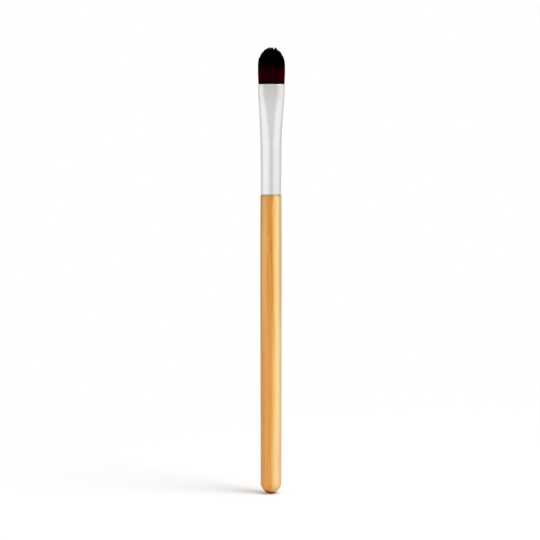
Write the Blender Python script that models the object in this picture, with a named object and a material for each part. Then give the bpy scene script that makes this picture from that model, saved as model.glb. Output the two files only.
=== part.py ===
"""A flat concealer brush: a lacquered bamboo handle, a pressed aluminium ferrule and a
filbert tuft of synthetic filaments, with the glue, thread and resin that hold them.

The origin is the centre of the small flat foot at the butt. +Z runs up the handle to the
bristle tips, X is across the wide side of the tuft and Y through its thin side. Every
size is in metres. Heights in a piece are measured from that piece's own origin.
"""

import math
import random

import bmesh
import bpy

# Fits and mesh fineness
FIT_GAP = 0.0001  # between any two pieces that touch on the real brush
TURNED_STEPS = 40  # facets round the handle and the glue on its tenon
PRESSED_STEPS = 48  # facets round the ferrule and what it holds above the tenon
ARC_STEPS = 4  # facets along each rounded corner
SHARP_ANGLE = math.radians(35)  # an edge that bends more than this is shaded sharp

# Handle
HANDLE_LENGTH = 0.1074  # foot to the shoulder that the ferrule butts on
SHOULDER_OVERHANG = 0.00019  # how far the shoulder stands outside the ferrule
SHOULDER_ROUNDING = 0.0002
GRIP_TAPER = 0.00004  # how far the grip's lower end lies inside the shoulder
BUTT_HEIGHT = 0.0036  # height of the rounded end
BUTT_SQUARENESS = 1.65  # power of the end's superellipse, where 2 is an ellipse and 1 a cone
BUTT_STEPS = 9  # facets up the rounded end
FOOT_RADIUS = 0.001  # the flat that cuts the rounded end's tip off

# Tenon on the handle, and the glue round it
TENON_LENGTH = 0.0135
TENON_CHAMFER = 0.0006
GLUE_THICKNESS = 0.00017
GLUE_SETBACK = 0.0009  # bare tenon at each end of the glue
GROOVE_COUNT = 3
GROOVE_FLOOR_WIDTH = 0.0006
GROOVE_DEPTH = 0.0003  # the groove's sides slope at 45 degrees

# Ferrule: a tube, round on the handle and pressed flat at the mouth
FERRULE_LENGTH = 0.03915
FERRULE_RADIUS = 0.00361  # outside, at the handle
FERRULE_WALL = 0.00028
FERRULE_TAPER = 0.00013  # growth in radius along the round stretch
ROUND_STRETCH = 0.0165  # length left round, from the handle
MOUTH_STRETCH = 0.0032  # straight length at the mouth
MOUTH_HALF_WIDTH = 0.00474
MOUTH_HALF_THICKNESS = 0.00215
PRESSING_POWER = 1.5  # how the pressing grows along the stretch between, where 1 is evenly
FLAT_HALF_WIDTH = 0.0018  # the flat in the middle of each face, at the mouth
FLAT_POWER = 1.8  # how the flats widen along the same stretch
STRETCH_STEPS = 10  # facets along the pressed stretch
LIP_CHAMFER = 0.00009

# Inside the ferrule, from the mouth down
SLICE_DEPTH = 0.001  # mouth to the top of the resin slice that backs the bristles
SLICE_THICKNESS = 0.0015
BUNDLE_LENGTH = 0.0092  # gathered filament roots below the slice
THREAD_RADIUS = 0.00018
THREAD_TURNS = 3
THREAD_FACE_ANGLES = (-60, 0, 60)  # degrees round a turn's outer side, where it has points
THREAD_ABOVE_BUNDLE_END = 0.0028
RESIN_LENGTH = 0.0052
MENISCUS_DEPTH = 0.0006
MENISCUS_WIDTH = 0.0009

# Tuft, with heights measured up from the ferrule's mouth
TUFT_LENGTH = 0.01335  # mouth to the longest tip
TUFT_SQUARENESS = 2.5  # power of the superellipse that the strands fill, where 2 is an ellipse
SIDE_FALL = 0.0066  # how much lower the strands at the two sides end than the middle ones
FACE_FALL = 0.003  # the same for the strands on the front and back faces
TIP_UNEVENNESS = 0.0003  # how much shorter still any strand may end
BELLY_HEIGHT = 0.004  # where the tuft reaches its full width
BELLY_SPREAD = 0.00047  # how far the outermost strands have swung out there
CHISEL_BELOW_TIP = 0.004  # where the faces begin to close towards the tip
CHISEL_THINNING = 0.0002  # how far each face has already come in there
TIP_THINNING = 0.0008  # how far each face has come in at the tip
STRAND_RADIUS = 0.000112
STRAND_SIDES = 3
STRAND_PITCH = 0.000262
STRAND_SHAKE = 0.000012  # how far a strand strays from the even grid
STRAND_ROOTING = 0.0004  # depth of a strand in the slice
SHAKE_SEED = 7
TIP_SEED = 11

# Places that follow from the sizes
BORE_RADIUS = FERRULE_RADIUS - FERRULE_WALL
TENON_RADIUS = BORE_RADIUS - GLUE_THICKNESS - 2 * FIT_GAP
SHOULDER_RADIUS = FERRULE_RADIUS + SHOULDER_OVERHANG
FERRULE_BASE = HANDLE_LENGTH + FIT_GAP
PRESS_END = FERRULE_LENGTH - MOUTH_STRETCH
SLICE_TOP = FERRULE_LENGTH - SLICE_DEPTH
BUNDLE_TOP = SLICE_TOP - SLICE_THICKNESS - FIT_GAP
BUNDLE_END = BUNDLE_TOP - BUNDLE_LENGTH
RESIN_TOP = BUNDLE_END - FIT_GAP
RESIN_END = RESIN_TOP - RESIN_LENGTH
THREAD_MIDDLE = BUNDLE_END + THREAD_ABOVE_BUNDLE_END
THREAD_HALF_HEIGHT = THREAD_TURNS * THREAD_RADIUS

# Colour, roughness and metallic value of each material
MATERIALS = {
    "bamboo": ((0.74, 0.45, 0.19), 0.32, 0.0),
    "aluminium": ((0.78, 0.78, 0.77), 0.34, 1.0),
    "filament": ((0.012, 0.003, 0.003), 0.4, 0.0),
    "filament_root": ((0.03, 0.004, 0.006), 0.5, 0.0),
    "resin": ((0.62, 0.5, 0.3), 0.2, 0.0),
    "adhesive": ((0.75, 0.72, 0.62), 0.35, 0.0),
    "thread": ((0.8, 0.78, 0.72), 0.8, 0.0),
}


def clear_scene():
    """Removes what the file opened with."""
    for obj in list(bpy.data.objects):
        bpy.data.objects.remove(obj)


def material(name):
    """The named material, made on first use."""
    found = bpy.data.materials.get(name)
    if found:
        return found
    colour, roughness, metallic = MATERIALS[name]
    made = bpy.data.materials.new(name)
    made.use_nodes = True
    shader = made.node_tree.nodes["Principled BSDF"]
    shader.inputs["Base Color"].default_value = (*colour, 1.0)
    shader.inputs["Roughness"].default_value = roughness
    shader.inputs["Metallic"].default_value = metallic
    made.diffuse_color = (*colour, 1.0)
    return made


def add_object(name, bm, material_name, parent, height):
    """Makes an object from a bmesh and stands it on the axis at a height in its parent."""
    bmesh.ops.recalc_face_normals(bm, faces=bm.faces)
    mesh = bpy.data.meshes.new(name)
    bm.to_mesh(mesh)
    bm.free()
    mesh.shade_smooth()
    mesh.set_sharp_from_angle(angle=SHARP_ANGLE)
    mesh.materials.append(material(material_name))
    obj = bpy.data.objects.new(name, mesh)
    bpy.context.scene.collection.objects.link(obj)
    obj.parent = parent
    obj.location = (0, 0, height)
    return obj


def corner_arc(before, corner, after, rounding):
    """Points of the arc that rounds a corner of an outline, kept within its two sides."""
    back = (before[0] - corner[0], before[1] - corner[1])
    ahead = (after[0] - corner[0], after[1] - corner[1])
    back_length = math.hypot(*back)
    ahead_length = math.hypot(*ahead)
    back = (back[0] / back_length, back[1] / back_length)
    ahead = (ahead[0] / ahead_length, ahead[1] / ahead_length)
    half_angle = math.acos(back[0] * ahead[0] + back[1] * ahead[1]) / 2
    run = min(rounding / math.tan(half_angle), back_length / 2, ahead_length / 2)
    radius = run * math.tan(half_angle)
    middle = (back[0] + ahead[0], back[1] + ahead[1])
    reach = radius / math.sin(half_angle) / math.hypot(*middle)
    centre = (corner[0] + middle[0] * reach, corner[1] + middle[1] * reach)
    start = math.atan2(corner[1] + back[1] * run - centre[1], corner[0] + back[0] * run - centre[0])
    end = math.atan2(corner[1] + ahead[1] * run - centre[1], corner[0] + ahead[0] * run - centre[0])
    turn = math.remainder(end - start, math.tau)
    angles = [start + turn * step / ARC_STEPS for step in range(ARC_STEPS + 1)]
    return [(centre[0] + radius * math.cos(a), centre[1] + radius * math.sin(a)) for a in angles]


def rounded(outline):
    """An outline of (radius, height, rounding) corners as points, with arcs at its rounded ones."""
    points = []
    for index, (radius, height, rounding) in enumerate(outline):
        if rounding:
            points += corner_arc(outline[index - 1], (radius, height), outline[index + 1], rounding)
        else:
            points.append((radius, height))
    return points


def turned(points, closed):
    """A bmesh of the solid turned round Z by an outline of (radius, height) points. Its
    first corners lie half a facet off X."""
    bm = bmesh.new()
    first = math.pi / TURNED_STEPS
    across, through = math.cos(first), math.sin(first)
    verts = [bm.verts.new((radius * across, radius * through, height)) for radius, height in points]
    for lower, upper in zip(verts, verts[1:]):
        bm.edges.new((lower, upper))
    if closed:
        bm.edges.new((verts[-1], verts[0]))
    bmesh.ops.spin(
        bm,
        geom=bm.verts[:] + bm.edges[:],
        axis=(0, 0, 1),
        cent=(0, 0, 0),
        angle=math.tau,
        steps=TURNED_STEPS,
        use_merge=True,
    )
    bmesh.ops.remove_doubles(bm, verts=bm.verts, dist=1e-8)
    return bm


def lofted(rings, closed):
    """A bmesh of the skin over rings of points. A closed loft joins its last ring to its
    first, and an open one is capped at both ends."""
    bm = bmesh.new()
    loops = [[bm.verts.new(point) for point in ring] for ring in rings]
    pairs = list(zip(loops, loops[1:]))
    if closed:
        pairs.append((loops[-1], loops[0]))
    else:
        bm.faces.new(loops[0])
        bm.faces.new(loops[-1])
    for lower, upper in pairs:
        for index in range(len(lower)):
            after = (index + 1) % len(lower)
            bm.faces.new((lower[index], lower[after], upper[after], upper[index]))
    return bm


def tenon_outline(clearance):
    """The tenon's grooved side, moved out by a clearance, as (radius, height) points from
    the shoulder up. The glue's inner side is the same outline with the fit's gap."""
    radius = TENON_RADIUS + clearance
    floor = radius - GROOVE_DEPTH
    half_floor = GROOVE_FLOOR_WIDTH / 2 - clearance * math.tan(math.pi / 8)
    half_mouth = half_floor + GROOVE_DEPTH
    points = []
    for number in range(GROOVE_COUNT):
        middle = TENON_LENGTH * (number + 1) / (GROOVE_COUNT + 1)
        points += [(radius, middle - half_mouth), (floor, middle - half_floor)]
        points += [(floor, middle + half_floor), (radius, middle + half_mouth)]
    return points


def butt_outline():
    """Corners of the rounded end from the foot up. Radius over the grip's, and depth below
    the grip's lower end over the reach, each raised to the squareness, add up to one. The
    reach is the depth at which the end would close, had the foot not cut it off."""
    lower_end = SHOULDER_RADIUS - GRIP_TAPER
    foot_share = (FOOT_RADIUS / lower_end) ** BUTT_SQUARENESS
    reach = BUTT_HEIGHT / (1 - foot_share) ** (1 / BUTT_SQUARENESS)
    start = math.asin(math.sqrt(foot_share))
    corners = []
    for step in range(BUTT_STEPS + 1):
        turn = start + (math.pi / 2 - start) * step / BUTT_STEPS
        depth = reach * max(math.cos(turn), 0.0) ** (2 / BUTT_SQUARENESS)
        radius = lower_end * math.sin(turn) ** (2 / BUTT_SQUARENESS)
        corners.append((radius, BUTT_HEIGHT - depth, 0))
    return [(FOOT_RADIUS, 0, 0), *corners[1:]]


def make_handle(parent):
    """The bamboo handle: flat foot, rounded butt, straight tapered grip, shoulder and
    grooved tenon."""
    top = HANDLE_LENGTH + TENON_LENGTH
    tenon = [(radius, HANDLE_LENGTH + height, 0) for radius, height in tenon_outline(0.0)]
    outline = [
        (0, 0, 0),
        *butt_outline(),
        (SHOULDER_RADIUS, HANDLE_LENGTH, SHOULDER_ROUNDING),
        (TENON_RADIUS, HANDLE_LENGTH, 0),
        *tenon,
        (TENON_RADIUS, top - TENON_CHAMFER, 0),
        (TENON_RADIUS - TENON_CHAMFER, top, 0),
        (0, top, 0),
    ]
    return add_object("handle", turned(rounded(outline), False), "bamboo", parent, 0)


def make_adhesive(handle):
    """The glue sleeve between the tenon and the ferrule's bore, with ribs in the grooves.
    Its outer side widens with the bore."""
    low = GLUE_SETBACK
    high = TENON_LENGTH - TENON_CHAMFER - GLUE_SETBACK
    inner = TENON_RADIUS + FIT_GAP
    growth = FERRULE_TAPER / ROUND_STRETCH
    outline = [
        (inner, low),
        *tenon_outline(FIT_GAP),
        (inner, high),
        (BORE_RADIUS - FIT_GAP + growth * high, high),
        (BORE_RADIUS - FIT_GAP + growth * low, low),
    ]
    return add_object("tenon_adhesive", turned(outline, True), "adhesive", handle, HANDLE_LENGTH)


def section_heights():
    """Heights at which the ferrule has a ring: its ends, and evenly up the pressed stretch."""
    pressed = PRESS_END - ROUND_STRETCH
    middle = [ROUND_STRETCH + pressed * step / STRETCH_STEPS for step in range(STRETCH_STEPS + 1)]
    return [0.0, *middle, FERRULE_LENGTH]


def heights_between(low, high):
    """Both heights, and the ferrule's ring heights between them."""
    return [low, *[height for height in section_heights() if low < height < high], high]


def section(height, inset):
    """Half width, half thickness and half width of the flat faces of the ferrule at a
    height in it, its outside moved in by an inset. The bore and all that fills it use the
    same section."""
    share = min(max((height - ROUND_STRETCH) / (PRESS_END - ROUND_STRETCH), 0.0), 1.0)
    pressed = share**PRESSING_POWER
    radius = FERRULE_RADIUS + FERRULE_TAPER * min(height / ROUND_STRETCH, 1.0)
    half_width = radius + (MOUTH_HALF_WIDTH - radius) * pressed - inset
    half_thickness = radius + (MOUTH_HALF_THICKNESS - radius) * pressed - inset
    return half_width, half_thickness, FLAT_HALF_WIDTH * share**FLAT_POWER


def section_ring(height, inset):
    """Points round the section at a height: a circle low down, and from there up an oval
    cut in two, its halves drawn apart to the sides by the flat faces. The first corner
    lies half a facet off X."""
    half_width, half_thickness, flat = section(height, inset)
    ring = []
    for step in range(PRESSED_STEPS):
        angle = math.tau * (step + 0.5) / PRESSED_STEPS
        across = math.cos(angle)
        x = math.copysign(flat, across) + (half_width - flat) * across
        ring.append((x, half_thickness * math.sin(angle), height))
    return ring


def make_ferrule(parent):
    """The aluminium tube, its wall drawn as one closed outline with chamfered lips."""
    lip = min(LIP_CHAMFER, FERRULE_WALL / 3)
    wall = [(lip, 0.0), (0.0, lip)]
    wall += [(0.0, height) for height in section_heights()[1:-1]]
    wall += [(0.0, FERRULE_LENGTH - lip), (lip, FERRULE_LENGTH)]
    wall += [(FERRULE_WALL - lip, FERRULE_LENGTH), (FERRULE_WALL, FERRULE_LENGTH - lip)]
    wall += [(FERRULE_WALL, height) for height in reversed(section_heights()[1:-1])]
    wall += [(FERRULE_WALL, lip), (FERRULE_WALL - lip, 0.0)]
    rings = [section_ring(height, inset) for inset, height in wall]
    return add_object("ferrule", lofted(rings, True), "aluminium", parent, FERRULE_BASE)


def make_root_resin(ferrule):
    """The resin plug under the filament roots, its lower face dished by the meniscus."""
    inset = FERRULE_WALL + FIT_GAP
    rings = [section_ring(RESIN_END + MENISCUS_DEPTH, inset + MENISCUS_WIDTH)]
    rings += [section_ring(height, inset) for height in heights_between(RESIN_END, RESIN_TOP)]
    return add_object("root_resin", lofted(rings, False), "resin", ferrule, 0)


def make_root_bundle(ferrule):
    """The filaments' gathered roots, drawn in where the thread is wound round them."""
    inset = FERRULE_WALL + FIT_GAP
    waist_inset = inset + 2 * THREAD_RADIUS + FIT_GAP
    waist_low = THREAD_MIDDLE - THREAD_HALF_HEIGHT - FIT_GAP
    waist_high = THREAD_MIDDLE + THREAD_HALF_HEIGHT + FIT_GAP
    rings = [section_ring(height, inset) for height in heights_between(BUNDLE_END, waist_low)]
    waist = heights_between(waist_low, waist_high)
    rings += [section_ring(height, waist_inset) for height in waist]
    rings += [section_ring(height, inset) for height in heights_between(waist_high, BUNDLE_TOP)]
    return add_object("root_bundle", lofted(rings, False), "filament_root", ferrule, 0)


def make_binding_thread(ferrule):
    """Turns of thread laid side by side round the bundle's waist, as one ribbed band."""
    outer_inset = FERRULE_WALL + FIT_GAP
    inner_inset = outer_inset + 2 * THREAD_RADIUS
    low = THREAD_MIDDLE - THREAD_HALF_HEIGHT
    high = THREAD_MIDDLE + THREAD_HALF_HEIGHT
    band = [(inner_inset, low)]
    for turn in range(THREAD_TURNS):
        middle = low + THREAD_RADIUS * (2 * turn + 1)
        for angle in THREAD_FACE_ANGLES:
            inset = outer_inset + THREAD_RADIUS * (1 - math.cos(math.radians(angle)))
            band.append((inset, middle + THREAD_RADIUS * math.sin(math.radians(angle))))
    band.append((inner_inset, high))
    rings = [section_ring(height, inset) for inset, height in band]
    return add_object("binding_thread", lofted(rings, True), "thread", ferrule, 0)


def tuft_stations():
    """Heights above the mouth, from inside the slice up, with the half width and half
    thickness that the strands' middles span there. Between two heights the strands run
    straight and keep their share of that span, so that no two cross."""
    mouth_wide, thick, _ = section(FERRULE_LENGTH, FERRULE_WALL + FIT_GAP + STRAND_RADIUS)
    depth = SLICE_DEPTH + STRAND_ROOTING
    wide = mouth_wide + BELLY_SPREAD
    return [
        (-depth, mouth_wide - BELLY_SPREAD * depth / BELLY_HEIGHT, thick),
        (BELLY_HEIGHT, wide, thick),
        (TUFT_LENGTH - CHISEL_BELOW_TIP, wide, thick - CHISEL_THINNING),
        (TUFT_LENGTH, wide, thick - TIP_THINNING),
    ]


def strand_spots():
    """Places of the strands, as shares of the span from its middle: a staggered grid, a
    little shaken, out to the rim of a squared oval."""
    shake = random.Random(SHAKE_SEED)
    _, half_width, half_thickness = tuft_stations()[0]
    row_pitch = STRAND_PITCH * math.sqrt(3) / 2
    rows = math.floor(half_thickness / row_pitch)
    columns = math.ceil(half_width / STRAND_PITCH)
    spots = []
    for row in range(-rows, rows + 1):
        for column in range(-columns, columns + 1):
            x = (column + (row % 2) / 2) * STRAND_PITCH + shake.uniform(-STRAND_SHAKE, STRAND_SHAKE)
            y = row * row_pitch + shake.uniform(-STRAND_SHAKE, STRAND_SHAKE)
            across = x / half_width
            through = y / half_thickness
            if abs(across) ** TUFT_SQUARENESS + abs(through) ** TUFT_SQUARENESS <= 1:
                spots.append((across, through))
    return spots


def strand_end(across, through, short):
    """Height of a strand's tip above the mouth. The tips round off as a quarter ellipse
    does, towards the sides and towards the faces."""
    side_drop = SIDE_FALL * (1 - math.sqrt(1 - across**2))
    face_drop = FACE_FALL * (1 - math.sqrt(1 - through**2))
    return TUFT_LENGTH - side_drop - face_drop - short


def strand_point(across, through, height):
    """The middle of a strand at a height above the mouth."""
    stations = tuft_stations()
    for (low, low_wide, low_thick), (high, high_wide, high_thick) in zip(stations, stations[1:]):
        if height <= high:
            break
    share = (height - low) / (high - low)
    wide = low_wide + (high_wide - low_wide) * share
    thick = low_thick + (high_thick - low_thick) * share
    return across * wide, through * thick, height


def add_strand(bm, across, through, end, twist):
    """Adds one strand from inside the slice to its tip. It thins little by little up to
    the last bend, and from there it runs to a point."""
    heights = [height for height, _, _ in tuft_stations() if height < end - 2 * STRAND_RADIUS]
    loops = []
    for height in heights:
        x, y, z = strand_point(across, through, height)
        radius = STRAND_RADIUS * math.sqrt(1 - (max(height, 0.0) / end) ** 4)
        angles = [twist + math.tau * side / STRAND_SIDES for side in range(STRAND_SIDES)]
        ring = [(x + radius * math.cos(a), y + radius * math.sin(a), z) for a in angles]
        loops.append([bm.verts.new(point) for point in ring])
    tip = bm.verts.new(strand_point(across, through, end))
    bm.faces.new(loops[0])
    for side in range(STRAND_SIDES):
        after = (side + 1) % STRAND_SIDES
        for lower, upper in zip(loops, loops[1:]):
            bm.faces.new((lower[side], lower[after], upper[after], upper[side]))
        bm.faces.new((loops[-1][side], loops[-1][after], tip))


def make_strands(slice_object):
    """All the strands as one helper mesh, which the slice takes in."""
    chance = random.Random(TIP_SEED)
    bm = bmesh.new()
    for across, through in strand_spots():
        end = strand_end(across, through, chance.uniform(0, TIP_UNEVENNESS))
        add_strand(bm, across, through, end, chance.uniform(0, math.tau))
    helper = add_object("strands", bm, "filament", slice_object, 0)
    helper.hide_render = True
    helper.display_type = "WIRE"
    return helper


def make_bristle_tuft(ferrule):
    """The bristles, fused to the slice of resin that backs them below the mouth."""
    inset = FERRULE_WALL + FIT_GAP
    heights = heights_between(SLICE_TOP - SLICE_THICKNESS, SLICE_TOP)
    rings = [section_ring(height, inset) for height in heights]
    rings = [[(x, y, z - FERRULE_LENGTH) for x, y, z in ring] for ring in rings]
    tuft = add_object("bristle_tuft", lofted(rings, False), "filament", ferrule, FERRULE_LENGTH)
    union = tuft.modifiers.new("strands", "BOOLEAN")
    union.operation = "UNION"
    union.solver = "EXACT"
    union.object = make_strands(tuft)
    return tuft


def main():
    clear_scene()
    brush = bpy.data.objects.new("concealer_brush", None)
    bpy.context.scene.collection.objects.link(brush)
    handle = make_handle(brush)
    make_adhesive(handle)
    ferrule = make_ferrule(brush)
    make_root_resin(ferrule)
    make_root_bundle(ferrule)
    make_binding_thread(ferrule)
    make_bristle_tuft(ferrule)


main()
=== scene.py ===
"""The looks of a slim flat concealer brush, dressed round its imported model.

Metres, +Z up. The brush stands on the small foot of its bamboo handle at the origin, with
the wide side of its tuft across X and its face towards -Y, where the camera is. A tone is
linear red, green and blue.
"""

import math

import bpy
import numpy as np
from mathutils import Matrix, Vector


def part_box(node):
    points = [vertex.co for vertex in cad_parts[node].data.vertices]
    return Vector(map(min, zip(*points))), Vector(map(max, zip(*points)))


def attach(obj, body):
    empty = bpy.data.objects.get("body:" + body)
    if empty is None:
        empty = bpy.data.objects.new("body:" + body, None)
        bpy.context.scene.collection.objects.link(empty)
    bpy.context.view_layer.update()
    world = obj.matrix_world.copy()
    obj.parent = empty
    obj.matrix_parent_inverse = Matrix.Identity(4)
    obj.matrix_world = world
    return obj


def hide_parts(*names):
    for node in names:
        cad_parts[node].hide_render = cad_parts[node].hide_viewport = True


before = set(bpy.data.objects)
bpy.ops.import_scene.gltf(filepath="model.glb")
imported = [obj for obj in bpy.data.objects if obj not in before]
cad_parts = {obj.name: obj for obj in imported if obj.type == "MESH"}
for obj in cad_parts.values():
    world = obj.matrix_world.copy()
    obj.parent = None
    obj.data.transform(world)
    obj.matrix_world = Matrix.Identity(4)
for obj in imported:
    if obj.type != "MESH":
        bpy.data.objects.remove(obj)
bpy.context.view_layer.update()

BODY = "root"

# Places read from the frame, and the gap between pieces that touch
FIT_GAP = 0.0001
FERRULE_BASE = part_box("ferrule")[0].z
SHOULDER_HEIGHT = FERRULE_BASE - FIT_GAP
MOUTH_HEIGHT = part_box("ferrule")[1].z
FERRULE_LENGTH = MOUTH_HEIGHT - FERRULE_BASE
TENON_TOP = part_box("handle")[1].z
BRUSH_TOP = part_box("bristle_tuft")[1].z
TUFT_LENGTH = BRUSH_TOP - MOUTH_HEIGHT
SLICE_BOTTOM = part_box("bristle_tuft")[0].z

# Mesh fineness, as points round a piece or along a stretch of it, and the bend past which an
# edge stays sharp
ROUND_STEPS = 192
BUTT_STEPS = 48
GRIP_STEPS = 90
SHOULDER_STEPS = 8
WALL_STEPS = 70
LIP_STEPS = 6
SLICE_STEPS = 96
SHARP_ANGLE = math.radians(40)

# Handle
SHOULDER_RADIUS = 0.0038
SHOULDER_ROUNDING = 0.0002
BELLY_SWELL = 0.00005
BELLY_HEIGHT = SHOULDER_HEIGHT - 0.0195
WAIST_DRAW_IN = 0.00004
WAIST_HEIGHT = BELLY_HEIGHT - 0.08
BUTT_HEIGHT = 0.0036
BUTT_REACH = 0.00387
BUTT_SQUARENESS = 1.65
TENON_RADIUS = 0.00296
TENON_CHAMFER = 0.0006
GROOVE_COUNT = 3
GROOVE_HALF_FLOOR = 0.0003
GROOVE_DEPTH = 0.0003
# Unroundness: number of lobes, share of the radius, and in radians the turn to the metre of
# height and the first turn
LOBES = ((2, 0.0012, 31, 0), (3, 0.0008, -47, 1))
LOBES_START = 0.004
LOBES_FADE = 0.01

# Ferrule
FERRULE_RADIUS = 0.00361
FERRULE_TAPER = 0.00013
FERRULE_WALL = 0.00028
ROUND_STRETCH = 0.0165
MOUTH_STRETCH = 0.0032
MOUTH_HALF_WIDTH = 0.00474
MOUTH_HALF_THICKNESS = 0.00215
PRESSING_POWER = 1.5
FLAT_HALF_WIDTH = 0.0018
FLAT_POWER = 1.8
FLAT_SHIFT = -0.0005
HEAD_SHIFT = 0.00017
LIP_ROUNDING = 0.00012
LOWER_LIP_ROUNDING = 0.00004

# Tuft, with heights measured up from the ferrule's mouth
TUFT_SEED = 5
SLICE_DEPTH = 0.001
ROOTING = 0.0002
FILAMENT_COUNT = 3000
FILAMENT_RADIUS = 0.00005
FILAMENT_SIDES = 3
FILAMENT_TAPER_POWER = 8
FILAMENT_PIECES = 2
LEAST_FILAMENT = 0.0025
ROOT_LEVELS = (-SLICE_DEPTH - ROOTING, -0.0003, 0.0002, 0.0006, 0.0011, 0.0018)
UPPER_SHARES = (0.15, 0.3, 0.45, 0.6, 0.75, 0.88, 0.96, 1.0)
TUFT_SQUARENESS = 2.5
LIP_SPREAD = 0.00024
LIP_SPREAD_HEIGHT = 0.0005
SPREAD = 0.00017
SPREAD_HEIGHT = 0.005
TIP_THICKNESS_SHARE = 0.45
SIDE_FALL = 0.0066
FACE_FALL = 0.003
LOCK_COUNT = 110
LOCK_NARROWNESS = 6
LOCK_PULL = 0.45
LOCK_SHORTNESS = 0.00005
FILAMENT_SHORTNESS = 0.00005
LOCK_LEAN = 0.00007
FILAMENT_SWAY = 0.00005
# Dips in the line of the tips: middle across from the head's middle, half width, and depth,
# which is less than 0 for a rise
TIP_DIPS = (
    (-0.00115, 0.0004, -0.00014), (-0.0002, 0.0003, 0.0001), (0.00086, 0.00017, 0.0006),
    (0.0016, 0.0003, -0.0003), (0.0021, 0.0001, 0.00015), (0.0029, 0.0001, 0.00015),
    (0.0036, 0.0001, 0.00015), (0.0041, 0.0001, 0.00015),
)

# Lengthwise lines: lines to the metre across and along, the noise that they ease between,
# and a shift that sets them apart from other lines
LINE_VALUES = ("Across", "Along", "Low", "High", "Shift")
LINE_DETAIL = 2.5
USUAL_LINES = (2000.0, 60.0, 0.4, 0.6, 0.0)
WANDER_LINES = (150.0, 25.0, 0.3, 0.7, 0.0)
BROAD_GRAIN = (900.0, 14.0, 0.4, 0.7, 0.0)
DARK_FIBRES = (5200.0, 90.0, 0.5, 0.68, 3.0)
PALE_FIBRES = (3600.0, 50.0, 0.52, 0.75, 9.0)
DRAWING_MARKS = (9000.0, 60.0, 0.35, 0.65, 0.0)
STRAND_LINES = (5200.0, 30.0, 0.35, 0.65, 0.0)

# Blotches: blotches to the metre, and the noise that they ease between
USUAL_BLOTCHES = 800.0
BLOTCH_NOISE = (0.35, 0.65)
CLOUD_BLOTCHES = 350.0

# An edge is the two places between which a finish eases from nothing to full.

# Bamboo's ground, where the upper handle's strips take over from the lower handle's
STRIP_WANDER = 0.0004
UPPER_EDGE = (0.045, 0.075)
# The pale tones on the right are partly paler bamboo and partly painted highlight, on the side the
# key light falls on.
LOWER_TAN = (0.7, 0.31, 0.062)
LOWER_PALE_AND_LIT = (0.85, 0.595, 0.27)
LOWER_PALE_LIT_EDGE = (-0.0002, 0.0017)
UPPER_TAN = (0.67, 0.29, 0.046)
UPPER_PALE_AND_LIT = (0.79, 0.455, 0.125)
UPPER_PALE_LIT_EDGE = (0.0004, 0.0009)

# Strips: middle across, half widths at full strength and at none, strength, tone
LOWER_STRIPS = (
    (-0.0018, 0.0002, 0.0008, 0.8, (0.79, 0.36, 0.088)),
    (0.0009, 0.0003, 0.0008, 0.5, (0.8, 0.47, 0.09)),
)
UPPER_STRIPS = (
    (-0.00235, 0.0004, 0.0011, 0.9, (0.8, 0.415, 0.13)),
    # The palest strip, partly painted highlight
    (0.00215, 0.0003, 0.0009, 0.9, (0.8, 0.6, 0.285)),
)
# The orange strip crosses the middle at a height, and drifts left as it climbs
ORANGE_STRIPS = ((0.0, 0.0002, 0.0006, 0.75, (0.63, 0.215, 0.018)),)
ORANGE_HEIGHT = 0.092
ORANGE_DRIFT = 0.025

# Rims of the bamboo darkened by painted shade, the right one also greyed by a painted
# grazing reflection: middle across, and half widths at full strength and at none. The left
# rim is stronger in the upper handle, and the right rim darker.
LEFT_RIM_SHADE = (-0.00385, 0.0004, 0.001)
LEFT_RIM_SHADE_STRENGTH = (0.5, 0.85)
LEFT_RIM_SHADE_TONE = (0.5, 0.22, 0.035)
RIGHT_RIM_SHADE = (0.00385, 0.0004, 0.00135)
RIGHT_RIM_SHADE_STRENGTH = 0.9
RIGHT_RIM_SHADE_HIGH_TONE = (0.51, 0.33, 0.135)
RIGHT_RIM_SHADE_LOW_TONE = (0.57, 0.39, 0.19)

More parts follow.
